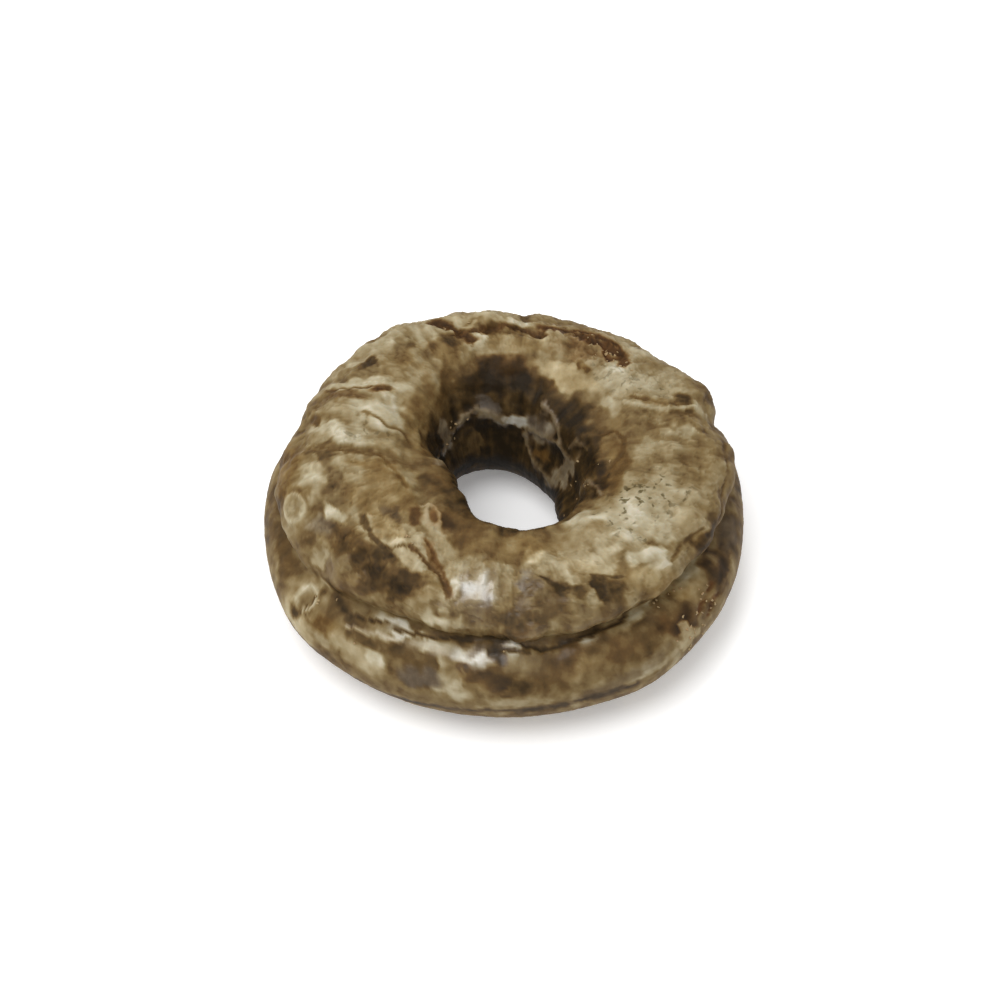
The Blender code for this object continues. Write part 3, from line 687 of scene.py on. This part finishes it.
def paintBubbles(grid, look):
    for bubble in skinBubbles.values():
        spot = skinPoint(grid, bubble["turn"], bubble["sweep"])
        offset = (grid["place"] - grid["place"][spot]) / mm + 0.1 * grid["ragged"]
        normal = grid["normal"][spot]
        roundWay = np.cross((0, 0, 1), normal)
        roundWay /= np.linalg.norm(roundWay)
        across = offset @ roundWay
        along = offset @ np.cross(normal, roundWay)
        away = np.linalg.norm(offset, axis=2)
        inside = 1 - smoothStep(0.75, 1.0, away / bubble["radius"])
        ring = np.exp(-((away - bubble["radius"]) / bubble["rim"]) ** 2)
        # a burst bubble has painted shade at one side, for the shadow in the hollow under its broken skin
        fromSide = np.hypot(across + 0.8, along)
        shadedHollow = inside * smoothStep(0.85, 1.05, fromSide / bubble["radius"]) * bubble["burst"]
        look["cover"] += inside * 0.8 * (bubble["inside"] - look["cover"])
        look["cover"] += shadedHollow * (0.1 - look["cover"])
        look["cover"] += ring * 0.85 * (bubble["ring"] - look["cover"])
        look["amber"] *= 1 - 0.8 * np.maximum(inside, ring)
        look["lift"] += 0.12 * ring - 0.35 * shadedHollow


def writeField(mesh, name, values):
    attribute = mesh.attributes.new(name, "FLOAT", "POINT")
    attribute.data.foreach_set("value", np.ascontiguousarray(values, dtype=np.float32).ravel())


def finishRing(ring):
    mesh = ring.data
    grid = ringGrid(mesh)
    grid["normal"] = gridNormals(grid["place"])
    look = startLook(grid)
    for patches in (crownPatches, skirtPatches, holePatches):
        paintPatches(grid, look, patches)
    paintStrokes(grid, look, skinStrokes)
    paintBubbles(grid, look)
    top = np.clip(np.sin(np.radians(grid["sweep"])) + 0.3, 0, 1)
    # streaks are plain on the crown, and weak in the hole and on the skirt
    calm = 0.25 + 0.75 * smoothStep(20, 50, grid["sweep"]) * smoothStep(125, 90, grid["sweep"])
    # layers of glaze that ran over each other: soft on one side, with an edge on the other
    layers = 0.8 * grid["streaks"][..., 1] + 0.3 * grid["ragged"][..., 0]
    layers = layers - np.floor(layers)
    layers = layers * smoothStep(1.0, 0.86, layers)
    layers = layers - layerMiddle
    look["cover"] += 0.13 * layers * calm
    lift = look["lift"]
    # wet glaze has run smooth
    dull = 1 - 0.7 * np.clip(look["gloss"], 0, 1)
    lift += reliefHeights["lumps"] * grid["lumps"][..., 0] * top
    lift += reliefHeights["mottle"] * grid["mottle"][..., 0] * top * dull
    lift += reliefHeights["streaks"] * grid["streaks"][..., 0] * calm
    lift += reliefHeights["layers"] * layers * calm * dull
    lift += reliefHeights["grain"] * grid["grain"][..., 0] * dull
    # nothing is moved where the dough rests on the table
    lift *= smoothStep(0, 1.5, grid["place"][..., 2] / mm)
    moved = grid["place"] + grid["normal"] * lift[..., None] * mm
    moved[..., 2] = np.maximum(moved[..., 2], 0)
    mesh.vertices.foreach_set("co", moved.astype(np.float32).ravel())
    writeField(mesh, "streaked", calm)
    writeField(mesh, "crumbs", paintCrumbs(grid))
    for name in ("cover",) + lookFields:
        writeField(mesh, name, np.clip(look[name], -1, 1.2))
    for name in ringNoises:
        mesh.attributes.remove(mesh.attributes[name])
    mesh.update()
    fixNormals(mesh)
    mesh.shade_smooth()


def fixNormals(mesh):
    # turns the faces outward if the ring was made inside out
    face = mesh.polygons[0]
    outward = face.center - core["centre"]
    outward.z = 0
    start = core["centre"] + outward.normalized() * core["radius"]
    if face.normal.dot(face.center - start) < 0:
        mesh.flip_normals()


# Material: dried sugar glaze over dark cake dough

glazeSettings = {
    # cover: colour
    "ramp": {
        0.0: "#22190b", 0.18: "#3b2c16", 0.38: "#5a4628", 0.55: "#776543",
        0.72: "#918466", 0.88: "#a79d83", 1.0: "#bab29d",
    },
    "amberTint": "#ffe8b4",
    "bareTint": "#ffd0a0",
    "speckTint": "#8f886b",
}


def addTint(tree, share, colour, tint):
    return addNode(tree, "ShaderNodeMix", {0: share, 6: colour, 7: linearColour(glazeSettings[tint])},
                   data_type="RGBA", blend_type="MULTIPLY").outputs[2]


def addBump(tree, height, distance, strength, under=None):
    inputs = {"Height": height, "Distance": distance, "Strength": strength}
    if under:
        inputs["Normal"] = under
    return addNode(tree, "ShaderNodeBump", inputs).outputs[0]


def glazedDoughMaterial():
    # dull, fine-grained sugar glaze, cream where thick and brown where the dough shows through,
    # with a wet-looking coat where gloss is high
    material = bpy.data.materials.new("dried sugar glaze over cake dough")
    material.use_nodes = True
    tree = material.node_tree
    tree.nodes.clear()
    fields = {}
    for name in ("cover", "streaked") + lookFields:
        fields[name] = addNode(tree, "ShaderNodeAttribute", attribute_name=name).outputs["Fac"]
    flow = addNode(tree, "ShaderNodeAttribute", attribute_name="flow").outputs["Vector"]
    space = addNode(tree, "ShaderNodeTexCoord").outputs["Object"]

    streaks = addNoise(tree, 2.8 * mm, {"Vector": flow, "Detail": 0.5, "Roughness": 0.5})["Fac"]
    mottle = addNoise(tree, 2.0 * mm, {"Vector": space, "Detail": 1.5, "Roughness": 0.5})["Fac"]
    grain = addNoise(tree, 0.45 * mm, {"Vector": space, "Detail": 2, "Roughness": 0.55})["Fac"]
    # specks: the peaks of a fine noise
    spots = addNoise(tree, 1.3 * mm, {"Vector": space, "Detail": 1.5, "Distortion": 0.4})["Fac"]

    # cover with its three noises
    tone = fields["cover"]
    for noise, amount, share in ((streaks, 0.26, fields["streaked"]), (mottle, 0.38, 1), (grain, 0.07, 1)):
        shift = addMath(tree, "MULTIPLY_ADD", {0: noise, 1: amount, 2: -amount / 2})
        tone = addMath(tree, "MULTIPLY_ADD", {0: shift, 1: share, 2: tone})
    ramp = addNode(tree, "ShaderNodeValToRGB", {"Fac": tone})
    stops = list(glazeSettings["ramp"].items())
    while len(ramp.color_ramp.elements) < len(stops):
        ramp.color_ramp.elements.new(0.5)
    for element, (position, colour) in zip(ramp.color_ramp.elements, stops):
        element.position = position
        element.color = linearColour(colour)

    # amber and red-brown tints, grey and dark specks
    amber = addTint(tree, fields["amber"], ramp.outputs["Color"], "amberTint")
    bare = addTint(tree, fields["bare"], amber, "bareTint")
    # grey takes colour out: grey glaze, and the white of the painted highlights and painted sheen
    paler = addMath(tree, "MULTIPLY_ADD", {0: fields["grey"], 1: -0.6, 2: 1.0})
    greyed = addNode(tree, "ShaderNodeHueSaturation", {"Saturation": paler, "Color": bare})
    speck = addNode(tree, "ShaderNodeMapRange", {"Value": spots, "From Min": 0.57, "From Max": 0.65})
    speckShare = addNode(tree, "ShaderNodeMath", {0: speck.outputs[0], 1: fields["specks"]},
                         operation="MULTIPLY", use_clamp=True)
    specked = addTint(tree, speckShare.outputs[0], greyed.outputs[0], "speckTint")

    # relief finer than the mesh
    wrinkles = addBump(tree, streaks, 0.35 * mm, 0.5)
    pores = addBump(tree, mottle, 0.4 * mm, 0.5, wrinkles)
    fine = addBump(tree, grain, 0.06 * mm, 0.5, pores)
    # the wet-looking coat lies smoother than the glaze under it
    runs = addBump(tree, streaks, 0.4 * mm, 0.6)
    wet = addBump(tree, mottle, 0.25 * mm, 0.5, runs)
    roughness = addNode(tree, "ShaderNodeMapRange",
                        {"Value": fields["gloss"], "To Min": 0.62, "To Max": 0.42})
    surface = addNode(tree, "ShaderNodeBsdfPrincipled",
                      {"Base Color": specked, "Roughness": roughness.outputs[0],
                       "Specular IOR Level": 0.12, "Normal": fine,
                       "Subsurface Weight": 0.2, "Subsurface Radius": (1.0, 0.6, 0.35),
                       "Subsurface Scale": 1.2 * mm,
                       "Coat Weight": fields["gloss"], "Coat Roughness": 0.26, "Coat IOR": 1.7,
                       "Coat Normal": wet})
    addNode(tree, "ShaderNodeOutputMaterial", {"Surface": surface.outputs[0]})
    return material


# Crumbs: broken bits of dry glaze caught in cracks, folds and scars

crumbSettings = {
    "Density": 0.9e6,       # crumbs for each square metre where the crumbs field is 1
    "Crumb size": 0.3 * mm,
    "Seed": 7,
}
crumbColours = ["#a8966c", "#7a5228"]
pointsInCrumb = 42          # an icosphere with 2 subdivisions

# where they lie, from the photo as the patches are: turn, sweep, half width down the section and round
# the ring in mm, share
crumbPlaces = {
    "crack three": (54, 81, 2.3, 3.3, 0.7),
    "crack three end": (43, 84, 1.3, 2.0, 0.9),
    "crack one": (108, 79, 0.8, 2.8, 0.6),
    "crease edge": (-41, 17, 0.6, 3.5, 0.7),
    "scars": (-35, -3, 1.4, 2.4, 0.7),
    "right drip": (-44, -12, 1.9, 2.9, 0.5),
    "front left ledge": (-129, 92, 1.0, 2.3, 0.4),
    "bubble": (-141, 9, 0.6, 1.8, 0.5),
    "hole left": (126, 166, 5.0, 1.7, 0.2),
    "hole right": (-9, 155, 5.4, 2.7, 0.2),
    "skirt cavity": (-88, 19, 0.6, 1.6, 0.6),
    "skirt flecks": (-130, 1, 0.7, 2.1, 0.4),
}


def paintCrumbs(grid):
    crumbs = np.zeros_like(grid["turn"])
    for turn, sweep, halfAlong, halfAcross, share in crumbPlaces.values():
        across, along = localPlace(grid, turn, sweep)
        crumbs += share * np.exp(-(across / halfAcross) ** 2 - (along / halfAlong) ** 2)
    return crumbs


def crumbMaterial():
    # dull broken sugar, from cream to amber
    material = bpy.data.materials.new("crumbs of dried glaze")
    material.use_nodes = True
    tree = material.node_tree
    surface = tree.nodes["Principled BSDF"]
    space = addNode(tree, "ShaderNodeTexCoord").outputs["Object"]
    noise = addNoise(tree, 2.5 * mm, {"Vector": space, "Detail": 1})["Fac"]
    cream, amber = map(linearColour, crumbColours)
    colour = addNode(tree, "ShaderNodeMix", {0: noise, 6: cream, 7: amber}, data_type="RGBA")
    tree.links.new(colour.outputs[2], surface.inputs["Base Color"])
    surface.inputs["Roughness"].default_value = 0.5
    return material


def buildCrumbTree():
    tree, given = startTree("glaze crumbs", {
        "NodeSocketObject": ["Skin"],
        "NodeSocketFloat": ["Density", "Crumb size"],
        "NodeSocketInt": ["Seed"],
        "NodeSocketMaterial": ["Material"],
    })
    skin = addNode(tree, "GeometryNodeObjectInfo", {"Object": given["Skin"]}, transform_space="RELATIVE")
    share = addNode(tree, "GeometryNodeInputNamedAttribute", {"Name": "crumbs"}, data_type="FLOAT")
    density = addMath(tree, "MULTIPLY", {0: share.outputs[0], 1: given["Density"]})
    points = addNode(tree, "GeometryNodeDistributePointsOnFaces",
                     {"Mesh": skin.outputs["Geometry"], "Density": density, "Seed": given["Seed"]})
    grain = addNode(tree, "GeometryNodeMeshIcoSphere", {"Radius": given["Crumb size"], "Subdivisions": 2})
    rough = addNoise(tree, 0.4 * mm, {"Detail": 1})
    middled = addVectorMath(tree, "SUBTRACT", {0: rough["Color"], 1: (0.5, 0.5, 0.5)})
    push = addVectorMath(tree, "SCALE", {0: middled, "Scale": 0.5 * mm})
    broken = addNode(tree, "GeometryNodeSetPosition", {"Geometry": grain.outputs["Mesh"], "Offset": push})
    # each crumb lies any way up, and is longer than it is thick
    spin = addNode(tree, "FunctionNodeRandomValue", {1: (6.28, 6.28, 6.28)}, data_type="FLOAT_VECTOR")
    stretch = addNode(tree, "FunctionNodeRandomValue",
                      {0: (0.4, 0.3, 0.25), 1: (1.5, 1.1, 0.7)}, data_type="FLOAT_VECTOR")
    placed = addNode(tree, "GeometryNodeInstanceOnPoints",
                     {"Points": points.outputs["Points"], "Instance": broken.outputs[0],
                      "Rotation": spin.outputs[0], "Scale": stretch.outputs[0]})
    return endTree(tree, given, placed.outputs[0])


def makeCrumbs(skin):
    host = newPiece("glazeCrumbs", bpy.data.meshes.new("empty crumbs"))
    values = dict(crumbSettings)
    values["Skin"] = skin
    values["Material"] = crumbMaterial()
    host.data = applyTree(host, buildCrumbTree(), values)
    host.data.shade_smooth()
    return host


# Stage: pale floor, soft studio light and the photo's camera

stageSettings = {
    "floorSize": 4.0,
    "floorColour": "#fafafa",
    "worldColour": "#ffffff",
    "floorGlow": 0.2,
    "worldStrength": 0.7,
    # lamp: place, size, power
    "lamps": {
        "softbox": [(-0.2, -0.12, 0.6), 0.45, 2.5],
        "back light": [(0.02, 0.34, 0.6), 0.24, 0.7],
    },
}

photoCamera = {
    "aim": Vector((-0.70 * mm, -0.09 * mm, 12.13 * mm)),
    "elevation": math.radians(51.23),
    "distance": 385.6 * mm,
    "lens": 78.0,
    "sensor": 36.0,
}


def paperMaterial():
    # flat white paper that the doughnut stands on. It glows a little, which lights the dough from below
    # and keeps the shadow on it pale
    material = bpy.data.materials.new("white paper")
    material.use_nodes = True
    surface = material.node_tree.nodes["Principled BSDF"]
    surface.inputs["Base Color"].default_value = linearColour(stageSettings["floorColour"])
    surface.inputs["Roughness"].default_value = 0.9
    surface.inputs["Specular IOR Level"].default_value = 0.1
    surface.inputs["Emission Color"].default_value = linearColour(stageSettings["floorColour"])
    surface.inputs["Emission Strength"].default_value = stageSettings["floorGlow"]
    return material


def makeFloor():
    bpy.ops.mesh.primitive_plane_add(size=stageSettings["floorSize"])
    floor = bpy.context.object
    floor.name = "floor"
    floor.data.materials.append(paperMaterial())


def makeLight():
    world = bpy.data.worlds.new("studio")
    bpy.context.scene.world = world
    world.use_nodes = True
    background = world.node_tree.nodes["Background"]
    background.inputs["Color"].default_value = linearColour(stageSettings["worldColour"])
    background.inputs["Strength"].default_value = stageSettings["worldStrength"]
    for name, (place, size, power) in stageSettings["lamps"].items():
        light = bpy.data.lights.new(name, "AREA")
        light.shape = "DISK"
        light.size = size
        light.energy = power
        lamp = bpy.data.objects.new(name, light)
        lamp.location = place
        lamp.rotation_euler = (-lamp.location).to_track_quat("-Z", "Y").to_euler()
        bpy.context.scene.collection.objects.link(lamp)


def makeCamera():
    lens = bpy.data.cameras.new("photo camera")
    lens.lens = photoCamera["lens"]
    lens.sensor_width = photoCamera["sensor"]
    lens.clip_start = 0.01
    camera = bpy.data.objects.new("photo camera", lens)
    elevation = photoCamera["elevation"]
    back = Vector((0, -math.cos(elevation), math.sin(elevation)))
    camera.location = photoCamera["aim"] + back * photoCamera["distance"]
    camera.rotation_euler = (-back).to_track_quat("-Z", "Y").to_euler()
    bpy.context.scene.collection.objects.link(camera)
    bpy.context.scene.camera = camera


def declarePiece(piece):
    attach(piece, "root")
    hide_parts("doughnut")


# Build

ring = makeRing()
print("ring made:", len(ring.data.vertices), "points")
finishRing(ring)
declarePiece(ring)
print("glaze painted")
crumbs = makeCrumbs(ring)
declarePiece(crumbs)
print("crumbs laid:", len(crumbs.data.vertices) // pointsInCrumb)
makeFloor()
makeLight()
makeCamera()
bpy.context.scene.view_settings.view_transform = "Standard"
print("stage made")
